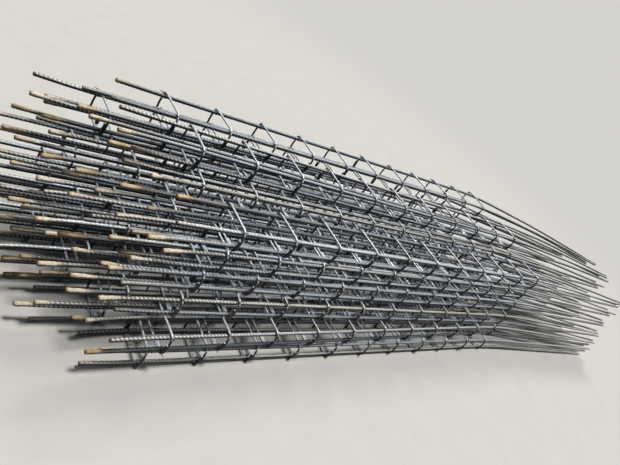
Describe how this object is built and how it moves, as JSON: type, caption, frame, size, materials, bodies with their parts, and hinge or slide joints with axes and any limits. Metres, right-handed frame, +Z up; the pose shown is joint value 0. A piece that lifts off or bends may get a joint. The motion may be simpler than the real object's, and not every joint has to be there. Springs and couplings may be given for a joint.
{
  "type": "rebar cage bundle",
  "caption": "Layered bundle of prefabricated rebar column cages, each of four long ribbed bars in rectangular stirrup rings, lying flat.",
  "frame": {"origin": "middle of the bundle's bounding box, on the ground", "axes": "+X along the bars towards their gathered tips, +Y from the front cages to the rear ones, +Z up"},
  "size_m": [4.5374, 0.9524, 0.624],
  "materials": {
    "ribbed_bar": "blue-grey mill scale, ribbed, with tan rust on the bars' left ends",
    "ring_rod": "smooth drawn rod, dull grey, brighter at the bends"
  },
  "bodies": {
    "root": {"layer_1_cage_1_bars": "ribbed_bar", "layer_1_cage_1_rings": "ring_rod", "layer_1_cage_2_bars": "ribbed_bar", "layer_1_cage_2_rings": "ring_rod", "layer_1_cage_3_bars": "ribbed_bar", "layer_1_cage_3_rings": "ring_rod", "layer_1_cage_4_bars": "ribbed_bar", "layer_1_cage_4_rings": "ring_rod", "layer_2_cage_1_bars": "ribbed_bar", "layer_2_cage_1_rings": "ring_rod", "layer_2_cage_2_bars": "ribbed_bar", "layer_2_cage_2_rings": "ring_rod", "layer_2_cage_3_bars": "ribbed_bar", "layer_2_cage_3_rings": "ring_rod", "layer_2_cage_4_bars": "ribbed_bar", "layer_2_cage_4_rings": "ring_rod", "layer_3_cage_1_bars": "ribbed_bar", "layer_3_cage_1_rings": "ring_rod", "layer_3_cage_2_bars": "ribbed_bar", "layer_3_cage_2_rings": "ring_rod", "layer_3_cage_3_bars": "ribbed_bar", "layer_3_cage_3_rings": "ring_rod", "layer_3_cage_4_bars": "ribbed_bar", "layer_3_cage_4_rings": "ring_rod", "layer_4_cage_1_bars": "ribbed_bar", "layer_4_cage_1_rings": "ring_rod", "layer_4_cage_2_bars": "ribbed_bar", "layer_4_cage_2_rings": "ring_rod", "layer_4_cage_3_bars": "ribbed_bar", "layer_4_cage_3_rings": "ring_rod", "layer_4_cage_4_bars": "ribbed_bar", "layer_4_cage_4_rings": "ring_rod", "layer_5_cage_1_bars": "ribbed_bar", "layer_5_cage_1_rings": "ring_rod", "layer_5_cage_2_bars": "ribbed_bar", "layer_5_cage_2_rings": "ring_rod", "layer_5_cage_3_bars": "ribbed_bar", "layer_5_cage_3_rings": "ring_rod", "layer_5_cage_4_bars": "ribbed_bar", "layer_5_cage_4_rings": "ring_rod", "layer_6_cage_1_bars": "ribbed_bar", "layer_6_cage_1_rings": "ring_rod", "layer_6_cage_2_bars": "ribbed_bar", "layer_6_cage_2_rings": "ring_rod", "layer_6_cage_3_bars": "ribbed_bar", "layer_6_cage_3_rings": "ring_rod", "layer_7_cage_1_bars": "ribbed_bar", "layer_7_cage_1_rings": "ring_rod", "layer_7_cage_2_bars": "ribbed_bar", "layer_7_cage_2_rings": "ring_rod"}
  },
  "joints": []
}
